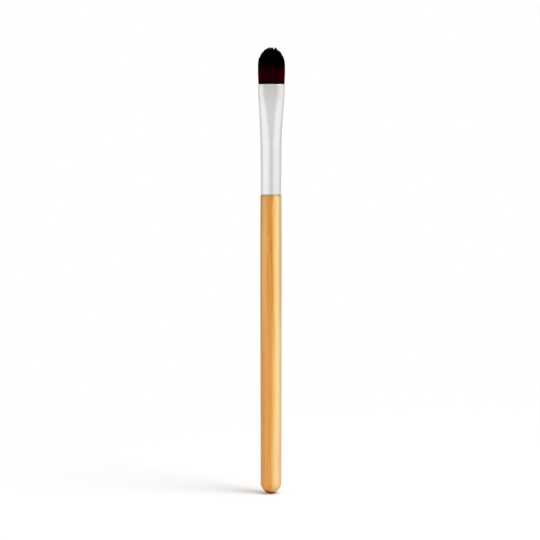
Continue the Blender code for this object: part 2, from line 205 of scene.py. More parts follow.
# Streaks in the bamboo, one of them painted shadow: middle across, half width, lowest and highest
# end, strength, tone.
# One is full within the inner share of its half width and gone past the outer, and eases in
# over a share of its length at each end.
STREAKS = (
    (-0.0034, 0.0003, 0.0953, 0.0995, 0.55, (0.42, 0.19, 0.03)),
    (-0.0024, 0.0009, 0.0885, 0.0985, 0.45, (0.78, 0.48, 0.15)),
    (-0.0022, 0.0006, 0.1, 0.1062, 0.6, (0.74, 0.36, 0.095)),
    (-0.00125, 0.00032, 0.0995, 0.1062, 0.5, (0.56, 0.27, 0.04)),
    (-0.00125, 0.0004, 0.0855, 0.0935, 0.5, (0.76, 0.4, 0.11)),
    (-0.00065, 0.0005, 0.092, 0.0995, 0.6, (0.62, 0.235, 0.02)),
    (-0.00015, 0.00045, 0.0862, 0.0925, 0.6, (0.6, 0.19, 0.015)),
    (-0.0009, 0.00024, 0.0755, 0.0852, 0.75, (0.55, 0.24, 0.025)),
    (-0.00054, 0.0002, 0.0765, 0.0856, 0.6, (0.8, 0.38, 0.075)),
    (0.0005, 0.0003, 0.0985, 0.105, 0.6, (0.8, 0.42, 0.12)),
    (0.0016, 0.0002, 0.0995, 0.1048, 0.6, (0.62, 0.42, 0.11)),
    (0.0023, 0.0003, 0.0878, 0.0918, 0.5, (0.85, 0.64, 0.2)),
    (0.00065, 0.0003, 0.105, 0.109, 0.7, (0.64, 0.34, 0.075)),
    # Painted shadow in the gap at the joint's right, under the ferrule's edge
    (0.0028, 0.00045, 0.1066, 0.1079, 0.7, (0.2, 0.12, 0.04)),
    (-0.0034, 0.00025, 0.004, 0.02, 0.5, (0.66, 0.42, 0.2)),
    (-0.00065, 0.0003, 0.006, 0.0165, 0.4, (0.78, 0.4, 0.12)),
    (-0.0012, 0.00022, 0.004, 0.0185, 0.55, (0.62, 0.27, 0.05)),
    (-0.0016, 0.0002, 0.004, 0.0205, 0.6, (0.82, 0.4, 0.115)),
    (-0.0031, 0.0003, 0.004, 0.0165, 0.4, (0.58, 0.25, 0.055)),
    (-0.0023, 0.0002, 0.004, 0.0175, 0.45, (0.58, 0.235, 0.035)),
)
STREAK_INNER_SHARE = 0.5
STREAK_OUTER_SHARE = 1.3
STREAK_END_SHARE = 0.3

# What lies over the strips and streaks of the bamboo. A tint is a strength and a tone, and a
# relief a strength and a distance.
BROAD_GRAIN_TINT = (0.12, (0.66, 0.26, 0.035))
DARK_FIBRE_TINT = (0.22, (0.5, 0.18, 0.025))
PALE_FIBRE_TINT = (0.22, (0.9, 0.56, 0.2))
FIBRE_ROUGHNESS = (0.42, 0.55)
FIBRE_RELIEF = (0.08, 0.00002)
BUTT_EDGE = (0.0026, 0.0012)
BUTT_TINT = (0.35, (0.75, 0.38, 0.14))
# The foot's dark tint is painted contact shade, reaching higher on the left, where the floor beside
# it lies in shadow. The same mask thins the lacquer there.
FOOT_SHADE_EDGE = (0.0016, 0.0005)
FOOT_SHADE_SLANT = 0.2
PAINTED_FOOT_SHADE_TINT = (0.94, (0.3, 0.04, 0.0))
LACQUER = 0.6
FOOT_LACQUER = 0.05
# Painted shade on the bamboo just under the ferrule's edge, on the left and middle
JOINT_EDGE = (SHOULDER_HEIGHT - 0.0022, SHOULDER_HEIGHT)
JOINT_SHADE_RIGHT_EDGE = (0.0012, 0.0002)
JOINT_SHADE_TINT = (0.4, (0.42, 0.2, 0.03))
# A thin painted shadow line right under the ferrule's edge
JOINT_SHADOW_LINE_EDGE = (SHOULDER_HEIGHT - 0.0007, SHOULDER_HEIGHT - 0.0001)
JOINT_SHADOW_LINE_TINT = (0.35, (0.3, 0.17, 0.04))
SMUDGE = (0.0, 0.0002, 0.0006)
SMUDGE_TINT = (0.5, (0.4, 0.22, 0.03))

# Aluminium
BRIGHT_ALUMINIUM = (0.75, 0.745, 0.735)
MARK_TINT = (0.35, (0.70, 0.695, 0.685))
CLOUD_TINT = (0.25, (0.8, 0.79, 0.775))
# Painted shade on the pressed flats below the mouth, standing in for a darker reflection
MOUTH_SHADE_EDGE = (MOUTH_HEIGHT - 0.0085, MOUTH_HEIGHT - 0.0045)
MOUTH_SHADE_TINT = (0.32, (0.58, 0.56, 0.53))
# Painted shade just below the lip
LIP_SHADE_EDGE = (MOUTH_HEIGHT - 0.0016, MOUTH_HEIGHT - 0.0006)
LIP_SHADE_TINT = (0.12, (0.5, 0.48, 0.46))
MARK_ROUGHNESS = (0.29, 0.36)
MARK_RELIEF = (0.05, 0.00001)

# Filament
DARK_WINE = (0.012, 0.0001, 0.0005)
WINE = (0.03, 0.0001, 0.0018)
SIDE_EDGE = (0.0024, 0.0037)
SIDE_TINT = (0.75, (0.048, 0.0001, 0.003))
WINE_STRIPS = ((0.0009, 0.0003, 0.0009, 0.6, (0.042, 0.0003, 0.003)),)
BLACK_WANDER = 0.002
BLACK_EDGE = (MOUTH_HEIGHT + 0.0038, MOUTH_HEIGHT + 0.0072)
FILAMENT_BLACK = (0.0005, 0.0005, 0.0003)
TIP_EDGE = (BRUSH_TOP - 0.0016, BRUSH_TOP - 0.0005)
TIP_DOME = 90.0
TIP_RIGHT_EDGE = (0.0012, -0.0002)
TIP_TINT = (0.65, (0.07, 0.003, 0.006))
# Painted shade on the filaments just above the mouth, under the lip
ROOT_SHADE_EDGE = (MOUTH_HEIGHT + 0.0011, MOUTH_HEIGHT + 0.0005)
ROOT_SHADE_TINT = (0.7, (0.002, 0.0, 0.0002))

# Pieces inside the ferrule: node, finish, its two tones, blotches to the metre, roughness
HIDDEN_FINISHES = (
    ("tenon_adhesive", "set_glue", (0.75, 0.72, 0.62), (0.66, 0.61, 0.48), 900, 0.35),
    ("root_resin", "amber_resin", (0.62, 0.5, 0.3), (0.5, 0.36, 0.18), 700, 0.2),
    ("root_bundle", "gathered_roots", (0.03, 0.004, 0.006), (0.06, 0.006, 0.01), 3000, 0.5),
    ("binding_thread", "wound_thread", (0.8, 0.78, 0.72), (0.7, 0.67, 0.6), 4000, 0.8),
)

# Studio, with light as radiance. An azimuth goes from the camera's side towards the right,
# in degrees for the panels. The two other edges are sines of the elevation.
FRONT_LIGHT = 0.78
FRONT_HIGH_LIGHT = 0.87
FRONT_HIGH_EDGE = (0.05, 0.2)
LEFT_LIGHT = 1.27
LEFT_PANEL_EDGE = (0.0, -38.0)
RIGHT_LIGHT = 1.2
RIGHT_PANEL_EDGE = (13.0, 36.0)
BACK_LIGHT = 0.78
BACK_PANEL_EDGE = (85.0, 130.0)
OVERHEAD_LIGHT = 0.56
OVERHEAD_EDGE = (0.2, 0.75)
DIFFUSE_GAIN = 1.22
KEY_LIGHT = 6.2
KEY_AZIMUTH = math.radians(60)
KEY_ELEVATION = math.radians(60)
KEY_DISTANCE = 1.6
KEY_WIDTH = 0.73
KEY_HEIGHT = 1.24
KEY_AIM = (0, 0, 0.05)

# Floor, with edges as distances from the origin
WHITE = (1.0, 1.0, 1.0)
BLACK = (0.0, 0.0, 0.0)
FLOOR_REACH = 30.0
PAPER = (0.74, 0.74, 0.74)
BOUNCE_PAPER = (0.6, 0.6, 0.6)
# Painted warm bounce light from the wood, on the paper round the foot
WARM_BOUNCE_PAPER = (0.84, 0.74, 0.42)
WARM_BOUNCE_EDGE = (0.0042, 0.0012)
NEAR_GLOW = 0.055
WHITE_EDGE = (0.06, 0.3)
FLOOR_MIRROR = 0.9
MIRROR_EDGE = (0.15, 0.5)

# Camera, tipped down by degrees
CAMERA_PLACE = (-0.00036, -0.67, 0.12)
CAMERA_TIP = 3.373
CAMERA_LENS = 125.1
CAMERA_SENSOR = 36.0
CAMERA_NEAREST = 0.01
CAMERA_FARTHEST = 100.0


def smooth_step(share):
    """Eases from 0 to 1 as share does, level at both ends."""
    share = np.clip(share, 0.0, 1.0)
    return share * share * (3 - 2 * share)


def mesh_piece(name, points, faces, material, sharp_angle=None):
    """A smooth-shaded mesh object at the origin, from points and faces. Where a sharp angle
    is given, edges that bend more than it stay sharp."""
    mesh = bpy.data.meshes.new(name)
    mesh.from_pydata(points.tolist(), [], faces)
    mesh.shade_smooth()
    if sharp_angle is not None:
        mesh.set_sharp_from_angle(angle=sharp_angle)
    mesh.materials.append(material)
    mesh.validate()
    piece = bpy.data.objects.new(name, mesh)
    bpy.context.scene.collection.objects.link(piece)
    return piece


def skin(name, rings, material, looped):
    """A closed mesh over rings of points, given as an array of rows, columns and x, y, z.
    Quads join each ring to the next, and the last column to the first. A looped skin joins
    its last ring to its first. Any other is closed by a fan at the middle of each end ring.
    Rings that climb and turn anticlockwise, seen from above, give faces that point out."""
    rows, columns, _ = rings.shape
    index = np.arange(rows * columns).reshape(rows, columns)
    upper = np.roll(index, -1, axis=0) if looped else index[1:]
    lower = index if looped else index[:-1]
    quads = [lower, np.roll(lower, -1, axis=1), np.roll(upper, -1, axis=1), upper]
    points = rings.reshape(-1, 3)
    faces = np.stack(quads, axis=-1).reshape(-1, 4).tolist()
    if not looped:
        first = rows * columns
        points = np.vstack([points, rings[0].mean(axis=0), rings[-1].mean(axis=0)])
        turned = np.roll(index, -1, axis=1)
        bottom = np.stack([turned[0], index[0], np.full(columns, first)], axis=-1)
        top = np.stack([index[-1], turned[-1], np.full(columns, first + 1)], axis=-1)
        faces += bottom.tolist() + top.tolist()
    return mesh_piece(name, points, faces, material, SHARP_ANGLE)


# Shader building


class Nodes:
    """Adds nodes to one tree. Each input takes a plain value or another node's socket."""

    def __init__(self, tree):
        self.tree = tree

    def feed(self, socket, value):
        """Links an input to the socket that it is given, or sets it to a number or a tone."""
        if isinstance(value, bpy.types.NodeSocket):
            self.tree.links.new(value, socket)
        elif socket.type == "RGBA":
            socket.default_value = (*value, 1.0)
        else:
            socket.default_value = value

    def add(self, kind, inputs=None, **settings):
        """Adds a node, sets its properties, and feeds each named or numbered input."""
        node = self.tree.nodes.new(kind)
        for key, value in settings.items():
            setattr(node, key, value)
        for key, value in (inputs or {}).items():
            self.feed(node.inputs[key], value)
        return node

    def group(self, tree, inputs):
        """The first output of a node group, with the given inputs."""
        return self.add("ShaderNodeGroup", inputs, node_tree=tree).outputs[0]

    def math(self, operation, first, second=0.0):
        """A Math node's value."""
        return self.add("ShaderNodeMath", {0: first, 1: second}, operation=operation).outputs[0]

    def times(self, first, second):
        """The product of two values."""
        return self.math("MULTIPLY", first, second)

    def vector(self, x, y, z=0.0):
        """A vector from its three parts."""
        return self.add("ShaderNodeCombineXYZ", {0: x, 1: y, 2: z}).outputs[0]

    def vector_math(self, operation, first, second):
        """A Vector Math node's vector."""
        inputs = {0: first, 1: second}
        return self.add("ShaderNodeVectorMath", inputs, operation=operation).outputs[0]

    def mix(self, share, first, second):
        """A value between two, by a share from 0 to 1."""
        inputs = {0: share, 2: first, 3: second}
        return self.add("ShaderNodeMix", inputs, data_type="FLOAT").outputs[0]

    def blend(self, share, first, second):
        """A tone between two, by a share from 0 to 1."""
        inputs = {0: share, 6: first, 7: second}
        return self.add("ShaderNodeMix", inputs, data_type="RGBA").outputs[2]

    def tint(self, colour, share, strength, tone):
        """Moves a colour towards a tone, by a share of a strength."""
        return self.blend(self.times(share, strength), colour, tone)

    def span(self, share, low, high):
        """A value that goes from low to high as the share goes from 0 to 1."""
        inputs = {"Value": share, "To Min": low, "To Max": high}
        return self.add("ShaderNodeMapRange", inputs).outputs[0]

    def ramp(self, value, start, end):
        """Eases from 0 at the start to 1 at the end."""
        inputs = {"Value": value, "From Min": start, "From Max": end}
        settings = {"interpolation_type": "SMOOTHSTEP"}
        return self.add("ShaderNodeMapRange", inputs, **settings).outputs[0]


def new_group(name, inputs, output):
    """A shader node group with float inputs and their usual values, and one float output:
    its tree, the sockets that its inputs come from, and the one that its output goes to."""
    tree = bpy.data.node_groups.new(name, "ShaderNodeTree")
    for label, value in inputs:
        socket = tree.interface.new_socket(label, in_out="INPUT", socket_type="NodeSocketFloat")
        socket.default_value = value
    tree.interface.new_socket(output, in_out="OUTPUT", socket_type="NodeSocketFloat")
    given = tree.nodes.new("NodeGroupInput").outputs
    result = tree.nodes.new("NodeGroupOutput").inputs[output]
    return tree, given, result


def make_line_group():
    """Lines that run along the brush: noise on the piece's own place, squeezed across the
    brush and drawn out along it, then eased between a low and a high value."""
    tree, given, result = new_group("lengthwise_lines", zip(LINE_VALUES, USUAL_LINES), "Lines")
    nodes = Nodes(tree)
    place = nodes.add("ShaderNodeTexCoord").outputs["Object"]
    scale = nodes.vector(given["Across"], given["Across"], given["Along"])
    shift = nodes.vector(given["Shift"], given["Shift"])
    moved = nodes.vector_math("ADD", nodes.vector_math("MULTIPLY", place, scale), shift)
    inputs = {"Vector": moved, "Scale": 1.0, "Detail": LINE_DETAIL}
    noise = nodes.add("ShaderNodeTexNoise", inputs).outputs[0]
    nodes.feed(result, nodes.ramp(noise, given["Low"], given["High"]))
    return tree


def make_blotch_group():
    """Soft blotches with no direction, of a size given in blotches to the metre."""
    tree, given, result = new_group("mottle", [("Scale", USUAL_BLOTCHES)], "Mottle")
    nodes = Nodes(tree)
    place = nodes.add("ShaderNodeTexCoord").outputs["Object"]
    noise = nodes.add("ShaderNodeTexNoise", {"Vector": place, "Scale": given["Scale"]}).outputs[0]
    nodes.feed(result, nodes.ramp(noise, *BLOTCH_NOISE))
    return tree


def make_strip_group():
    """A lengthwise strip: 1 within the inner distance from its middle, 0 past the outer."""
    inputs = [("Across", 0.0), ("Middle", 0.0), ("Inner", 0.0003), ("Outer", 0.0008)]
    tree, given, result = new_group("lengthwise_strip", inputs, "Strip")
    nodes = Nodes(tree)
    away = nodes.math("ABSOLUTE", nodes.math("SUBTRACT", given["Across"], given["Middle"]))
    nodes.feed(result, nodes.ramp(away, given["Outer"], given["Inner"]))
    return tree


LINE_GROUP = make_line_group()
BLOTCH_GROUP = make_blotch_group()
STRIP_GROUP = make_strip_group()


def new_material(name, **values):
    """A material with a Principled shader, and constant values on the shader's sockets."""
    material = bpy.data.materials.new(name)
    material.use_nodes = True
    shader = material.node_tree.nodes["Principled BSDF"]
    for label, value in values.items():
        shader.inputs[label.replace("_", " ")].default_value = value
    return material, Nodes(material.node_tree), shader


def place_axes(nodes):
    """The piece's own place, as outputs X, Y and Z."""
    place = nodes.add("ShaderNodeTexCoord").outputs["Object"]
    return nodes.add("ShaderNodeSeparateXYZ", {0: place}).outputs


def lines(nodes, values):
    """Lengthwise lines from 0 to 1, from one row of their values."""
    return nodes.group(LINE_GROUP, dict(zip(LINE_VALUES, values)))


def blotches(nodes, scale):
    """Soft blotches from 0 to 1, so many to the metre."""
    return nodes.group(BLOTCH_GROUP, {"Scale": scale})


def strip(nodes, x, middle, inner, outer):
    """A lengthwise strip on both faces, from 0 to 1."""
    inputs = {"Across": x, "Middle": middle, "Inner": inner, "Outer": outer}
    return nodes.group(STRIP_GROUP, inputs)


def add_strips(nodes, colour, x, strips):
    """Tints a colour with each of a table's strips."""
    for middle, inner, outer, strength, tone in strips:
        colour = nodes.tint(colour, strip(nodes, x, middle, inner, outer), strength, tone)
    return colour


def add_streaks(nodes, colour, x, z, streaks):
    """Tints a colour with each of a table's streaks: strips softened at their ends too."""
    for middle, half_width, low, high, strength, tone in streaks:
        soft = (high - low) * STREAK_END_SHARE
        ends = nodes.times(nodes.ramp(z, low, low + soft), nodes.ramp(z, high, high - soft))
        inner, outer = half_width * STREAK_INNER_SHARE, half_width * STREAK_OUTER_SHARE
        share = nodes.times(strip(nodes, x, middle, inner, outer), ends)
        colour = nodes.tint(colour, share, strength, tone)
    return colour


def relief(nodes, shader, height, strength, distance):
    """Feeds the shader's normal with a relief."""
    inputs = {"Height": height, "Strength": strength, "Distance": distance}
    nodes.feed(shader.inputs["Normal"], nodes.add("ShaderNodeBump", inputs).outputs["Normal"])


def bamboo_ground(nodes, x, z):
    """The bamboo's strips: painted shade at both rims, tan and orange in between, pale on the
    right, which is partly painted highlight. The pale strip starts sharply in the upper
    handle and softly lower down."""
    high = nodes.ramp(z, *UPPER_EDGE)
    low = nodes.math("SUBTRACT", 1.0, high)
    # Pale right side: partly paler bamboo, partly painted highlight
    lower = nodes.blend(nodes.ramp(x, *LOWER_PALE_LIT_EDGE), LOWER_TAN, LOWER_PALE_AND_LIT)
    lower = add_strips(nodes, lower, x, LOWER_STRIPS)
    upper = nodes.blend(nodes.ramp(x, *UPPER_PALE_LIT_EDGE), UPPER_TAN, UPPER_PALE_AND_LIT)
    upper = add_strips(nodes, upper, x, UPPER_STRIPS)
    drift = nodes.times(nodes.math("SUBTRACT", z, ORANGE_HEIGHT), ORANGE_DRIFT)
    upper = add_strips(nodes, upper, nodes.math("ADD", x, drift), ORANGE_STRIPS)
    ground = nodes.blend(high, lower, upper)
    # Painted shade at both rims, where the sides turn from the light
    left = nodes.times(strip(nodes, x, *LEFT_RIM_SHADE), nodes.mix(high, *LEFT_RIM_SHADE_STRENGTH))
    ground = nodes.blend(left, ground, LEFT_RIM_SHADE_TONE)
    right = strip(nodes, x, *RIGHT_RIM_SHADE)
    for share, tone in ((high, RIGHT_RIM_SHADE_HIGH_TONE), (low, RIGHT_RIM_SHADE_LOW_TONE)):
        ground = nodes.tint(ground, nodes.times(right, share), RIGHT_RIM_SHADE_STRENGTH, tone)
    return ground


def bamboo_material():
    """Straight-grained bamboo in strips and streaks of different tone, under clear gloss
    lacquer; its pale right side is partly painted highlight. Fine fibres run along it all.
    The butt is warmer, and its foot dark with painted contact shade and thinly lacquered.
    Painted shade darkens the left and middle a little under the ferrule, with a thin painted
    shadow line and a smudge at the joint itself."""
    coat = {"Coat_Roughness": 0.08, "Coat_IOR": 1.42}
    material, nodes, shader = new_material("lacquered_bamboo", Specular_IOR_Level=0.1, **coat)
    axes = place_axes(nodes)
    z = axes["Z"]
    wander = nodes.math("SUBTRACT", lines(nodes, WANDER_LINES), 0.5)
    x = nodes.math("ADD", axes["X"], nodes.times(wander, STRIP_WANDER))
    colour = add_streaks(nodes, bamboo_ground(nodes, x, z), x, z, STREAKS)
    colour = nodes.tint(colour, lines(nodes, BROAD_GRAIN), *BROAD_GRAIN_TINT)
    fibres = lines(nodes, DARK_FIBRES)
    colour = nodes.tint(colour, fibres, *DARK_FIBRE_TINT)
    colour = nodes.tint(colour, lines(nodes, PALE_FIBRES), *PALE_FIBRE_TINT)
    colour = nodes.tint(colour, nodes.ramp(z, *BUTT_EDGE), *BUTT_TINT)
    # Painted contact shade at the foot, slanted to reach higher on the left
    slanted = nodes.math("ADD", z, nodes.times(x, FOOT_SHADE_SLANT))
    shaded_foot = nodes.ramp(slanted, *FOOT_SHADE_EDGE)
    colour = nodes.tint(colour, shaded_foot, *PAINTED_FOOT_SHADE_TINT)
    joint = nodes.ramp(z, *JOINT_EDGE)
    # Painted shade under the ferrule's edge, on the left and middle
    joint_shade = nodes.times(joint, nodes.ramp(x, *JOINT_SHADE_RIGHT_EDGE))
    colour = nodes.tint(colour, joint_shade, *JOINT_SHADE_TINT)
    # Painted shadow line at the joint
    colour = nodes.tint(colour, nodes.ramp(z, *JOINT_SHADOW_LINE_EDGE), *JOINT_SHADOW_LINE_TINT)
    smudge = nodes.times(joint, strip(nodes, x, *SMUDGE))
    colour = nodes.tint(colour, smudge, *SMUDGE_TINT)
    nodes.feed(shader.inputs["Base Color"], colour)
    nodes.feed(shader.inputs["Roughness"], nodes.span(fibres, *FIBRE_ROUGHNESS))
    nodes.feed(shader.inputs["Coat Weight"], nodes.mix(shaded_foot, LACQUER, FOOT_LACQUER))
    relief(nodes, shader, fibres, *FIBRE_RELIEF)
    return material


def aluminium_material():
    """Satin drawn aluminium: faint lengthwise drawing marks and a soft cloudiness, with painted
    shade standing in for a darker reflection where the mouth is pressed flat, and at its lip."""
    material, nodes, shader = new_material("satin_aluminium", Metallic=1.0)
    z = place_axes(nodes)["Z"]
    marks = lines(nodes, DRAWING_MARKS)
    tone = nodes.tint(BRIGHT_ALUMINIUM, marks, *MARK_TINT)
    tone = nodes.tint(tone, blotches(nodes, CLOUD_BLOTCHES), *CLOUD_TINT)
    # Painted shade on the pressed flats
    tone = nodes.tint(tone, nodes.ramp(z, *MOUTH_SHADE_EDGE), *MOUTH_SHADE_TINT)
    # Painted shade just below the lip
    tone = nodes.tint(tone, nodes.ramp(z, *LIP_SHADE_EDGE), *LIP_SHADE_TINT)
    nodes.feed(shader.inputs["Base Color"], tone)
    nodes.feed(shader.inputs["Roughness"], nodes.span(marks, *MARK_ROUGHNESS))
    relief(nodes, shader, marks, *MARK_RELIEF)
    return material


def filament_material():
    """Fine synthetic filament: dark wine red near the root that turns black towards the
    tip, with strands of slightly different red, redder at the sides and in one strip.
    Painted shade darkens it again where it leaves the mouth, under the lip, and the topmost
    tips on the left are tinged wine red."""
    dull = {"Roughness": 0.5, "Specular_IOR_Level": 0.01}
    material, nodes, shader = new_material("dyed_filament", **dull)
    axes = place_axes(nodes)
    x, z = axes["X"], axes["Z"]
    strand = lines(nodes, STRAND_LINES)
    colour = nodes.blend(strand, DARK_WINE, WINE)
    sides = nodes.ramp(nodes.math("ABSOLUTE", x), *SIDE_EDGE)
    colour = nodes.tint(colour, sides, *SIDE_TINT)
    colour = add_strips(nodes, colour, x, WINE_STRIPS)
    wander = nodes.times(nodes.math("SUBTRACT", strand, 0.5), BLACK_WANDER)
    black = nodes.ramp(nodes.math("ADD", z, wander), *BLACK_EDGE)
    colour = nodes.blend(black, colour, FILAMENT_BLACK)
    domed = nodes.math("ADD", z, nodes.times(nodes.times(x, x), TIP_DOME))
    tips = nodes.times(nodes.ramp(domed, *TIP_EDGE), nodes.ramp(x, *TIP_RIGHT_EDGE))
    colour = nodes.tint(colour, tips, *TIP_TINT)
    # Painted shade just above the mouth
    colour = nodes.tint(colour, nodes.ramp(z, *ROOT_SHADE_EDGE), *ROOT_SHADE_TINT)
    nodes.feed(shader.inputs["Base Color"], colour)
    return material


def dress_hidden_nodes():
    """The pieces inside the ferrule keep their solids and take their own finishes, each of
    two near tones in soft blotches."""
    for node, finish, tone, deep, scale, roughness in HIDDEN_FINISHES:
        material, nodes, shader = new_material(finish, Roughness=roughness)
        nodes.feed(shader.inputs["Base Color"], nodes.blend(blotches(nodes, scale), tone, deep))
        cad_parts[node].data.materials.clear()
        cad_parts[node].data.materials.append(material)


# The handle


def arc(centre, radius, start, end, steps):
    """Points of an arc of an outline, as radius from the axis and height."""
    angle = np.radians(np.linspace(start, end, steps))
    return np.stack([centre[0] + radius * np.cos(angle), centre[1] + radius * np.sin(angle)], axis=1)


def butt_outline():
    """The rounded end, part of an oval: radius over its widest, and depth below its widest
    level over the reach, each raised to the squareness, add up to one. The foot cuts its
    tip off."""
    power = 2 / BUTT_SQUARENESS
    start = math.acos((BUTT_HEIGHT / BUTT_REACH) ** (1 / power))
    turn = np.linspace(start, math.pi / 2, BUTT_STEPS)
    radius = (SHOULDER_RADIUS - WAIST_DRAW_IN) * np.sin(turn) ** power
    return np.stack([radius, BUTT_HEIGHT - BUTT_REACH * np.cos(turn) ** power], axis=1)


def grip_outline():
    """The grip, which eases from a faint waist to a faint belly and back to the shoulder's
    radius."""
    height = np.linspace(BUTT_HEIGHT, SHOULDER_HEIGHT - SHOULDER_ROUNDING, GRIP_STEPS)[1:-1]
    rise = smooth_step((height - WAIST_HEIGHT) / (BELLY_HEIGHT - WAIST_HEIGHT))
    fall = smooth_step((height - BELLY_HEIGHT) / (SHOULDER_HEIGHT - BELLY_HEIGHT))
    swell = -WAIST_DRAW_IN + (WAIST_DRAW_IN + BELLY_SWELL) * rise - BELLY_SWELL * fall
    return np.stack([SHOULDER_RADIUS + swell, height], axis=1)


def tenon_outline():
    """The tenon: straight, with evenly spaced grooves and a chamfered end."""
    points = [(TENON_RADIUS, SHOULDER_HEIGHT)]
    half_mouth = GROOVE_HALF_FLOOR + GROOVE_DEPTH
    floor_radius = TENON_RADIUS - GROOVE_DEPTH
    for middle in np.linspace(SHOULDER_HEIGHT, TENON_TOP, GROOVE_COUNT + 2)[1:-1]:
        points += [(TENON_RADIUS, middle - half_mouth), (floor_radius, middle - GROOVE_HALF_FLOOR)]
        points += [(floor_radius, middle + GROOVE_HALF_FLOOR), (TENON_RADIUS, middle + half_mouth)]
    points += [(TENON_RADIUS, TENON_TOP - TENON_CHAMFER), (TENON_RADIUS - TENON_CHAMFER, TENON_TOP)]
    return np.array(points)


def make_handle(material):
    """The outline turned round the axis, from the foot to the tenon's top, with the slight
    unroundness of a lacquered rod: soft lobes that drift round as they climb the grip, each
    a sine wave of the angle."""
    centre = (SHOULDER_RADIUS - SHOULDER_ROUNDING, SHOULDER_HEIGHT - SHOULDER_ROUNDING)
    shoulder = arc(centre, SHOULDER_ROUNDING, 0, 90, SHOULDER_STEPS)
    outline = np.vstack([butt_outline(), grip_outline(), shoulder, tenon_outline()])
    radius, height = outline[:, 0:1], outline[:, 1:2]
    angle = np.linspace(0, math.tau, ROUND_STEPS, endpoint=False)[None, :]
    lobes = 0
    for count, share, drift, turn in LOBES:
        lobes = lobes + share * np.sin(count * angle + drift * height + turn)
    fade_in = smooth_step((height - LOBES_START) / LOBES_FADE)
    fade_out = smooth_step((SHOULDER_HEIGHT - height) / LOBES_FADE)
    reach = radius * (1 + lobes * fade_in * fade_out)
    rings = np.stack([reach * np.cos(angle), reach * np.sin(angle), height + 0 * angle], axis=-1)
    piece = skin("bamboo_handle", rings, material, looped=False)
    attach(piece, BODY)
    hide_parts("handle")


# The ferrule


def section(height, inset):
    """Half width, half thickness and half width of the flat faces of the ferrule at heights
    above its base, its outside moved in by insets: round on the handle, and from there up
    pressed more and more."""
    press_end = FERRULE_LENGTH - MOUTH_STRETCH
    share = np.clip((height - ROUND_STRETCH) / (press_end - ROUND_STRETCH), 0, 1)
    pressed = share**PRESSING_POWER
    radius = FERRULE_RADIUS + FERRULE_TAPER * np.clip(height / ROUND_STRETCH, 0, 1)
    half_width = radius + (MOUTH_HALF_WIDTH - radius) * pressed - inset
    half_thickness = radius + (MOUTH_HALF_THICKNESS - radius) * pressed - inset
    return half_width, half_thickness, FLAT_HALF_WIDTH * share**FLAT_POWER


def section_rings(height, inset, steps):
    """Rings round the section: an oval cut in two, its halves drawn apart to the sides by
    the flat faces. x is the flat's half width plus the rest of the half width times the
    cosine, away from the middle, and y the half thickness times the sine. By the flat's
    share, the whole section also lies a little to the right, and its faces a little to the
    left, by a shift times the sine squared."""
    half_width, half_thickness, flat = section(height[:, None], inset[:, None])
    angle = (np.arange(steps)[None, :] + 0.5) * math.tau / steps
    across, through = np.cos(angle), np.sin(angle)
    x = np.sign(across) * flat + (half_width - flat) * across
    x = x + flat / FLAT_HALF_WIDTH * (HEAD_SHIFT + FLAT_SHIFT * through**2)
    z = FERRULE_BASE + height[:, None] + 0 * angle
    return np.stack([x, half_thickness * through, z], axis=-1)


def lip(rounding):
    """A quarter circle from a wall's side to the crest of its lip, as the distance in from
    the side, and the height over the crest, which is 0 at most."""
    turn = np.radians(np.linspace(0, 90, LIP_STEPS))
    return rounding * (1 - np.cos(turn)), rounding * (np.sin(turn) - 1)


def make_ferrule(material):
    """The tube's wall as a closed band: up the outside, over the rounded lip, down the
    bore and round the lower edge."""
    climb = np.linspace(LOWER_LIP_ROUNDING, FERRULE_LENGTH - LIP_ROUNDING, WALL_STEPS)[1:-1]
    upper_in, upper_up = lip(LIP_ROUNDING)
    lower_in, lower_up = lip(LOWER_LIP_ROUNDING)
    inset = [0 * climb, upper_in, FERRULE_WALL - upper_in[::-1]]
    inset += [FERRULE_WALL + 0 * climb, FERRULE_WALL - lower_in, lower_in[::-1]]
    height = [climb, FERRULE_LENGTH + upper_up, FERRULE_LENGTH + upper_up[::-1]]
    height += [climb[::-1], -lower_up, -lower_up[::-1]]
    rings = section_rings(np.concatenate(height), np.concatenate(inset), ROUND_STEPS)
    piece = skin("aluminium_ferrule", rings, material, looped=True)
    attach(piece, BODY)
    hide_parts("ferrule")


# The tuft


def make_slice(material):
    """The slice of resin that the filaments stand in, below the mouth."""
    height = np.array([SLICE_BOTTOM - FERRULE_BASE, FERRULE_LENGTH - SLICE_DEPTH])
    rings = section_rings(height, np.full(2, FERRULE_WALL + FIT_GAP), SLICE_STEPS)
    piece = skin("root_slice", rings, material, looped=False)
    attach(piece, BODY)
    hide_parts("bristle_tuft")


def tuft_half_spans(height):
    """Half width and half thickness that the filaments span at heights above the mouth.
    The width swings out over the lip as a quarter sine wave, then eases out a little more.
    The thickness closes as a square does."""
    wide, thick, _ = section(np.float64(FERRULE_LENGTH), FERRULE_WALL + FILAMENT_RADIUS)
    swing = np.sin(np.clip(height / LIP_SPREAD_HEIGHT, 0, 1) * math.pi / 2)
    half_width = wide + LIP_SPREAD * swing + SPREAD * smooth_step(height / SPREAD_HEIGHT)
    closing = np.clip(height / TUFT_LENGTH, 0, 1) ** 2
    return half_width, thick * (1 - (1 - TIP_THICKNESS_SHARE) * closing)


def oval_spots(count):
    """Spots that fill a squared oval evenly, as shares of its half width and thickness: a
    sunflower's spiral in a disc, each point then moved out along its own direction until
    the disc's rim lies on the oval's."""
    number = np.arange(count) + 0.5
    angle = number * math.pi * (3 - math.sqrt(5))
    way = np.stack([np.cos(angle), np.sin(angle)])
    rim = (np.abs(way) ** TUFT_SQUARENESS).sum(axis=0) ** (-1 / TUFT_SQUARENESS)
    return np.sqrt(number / count) * rim * way


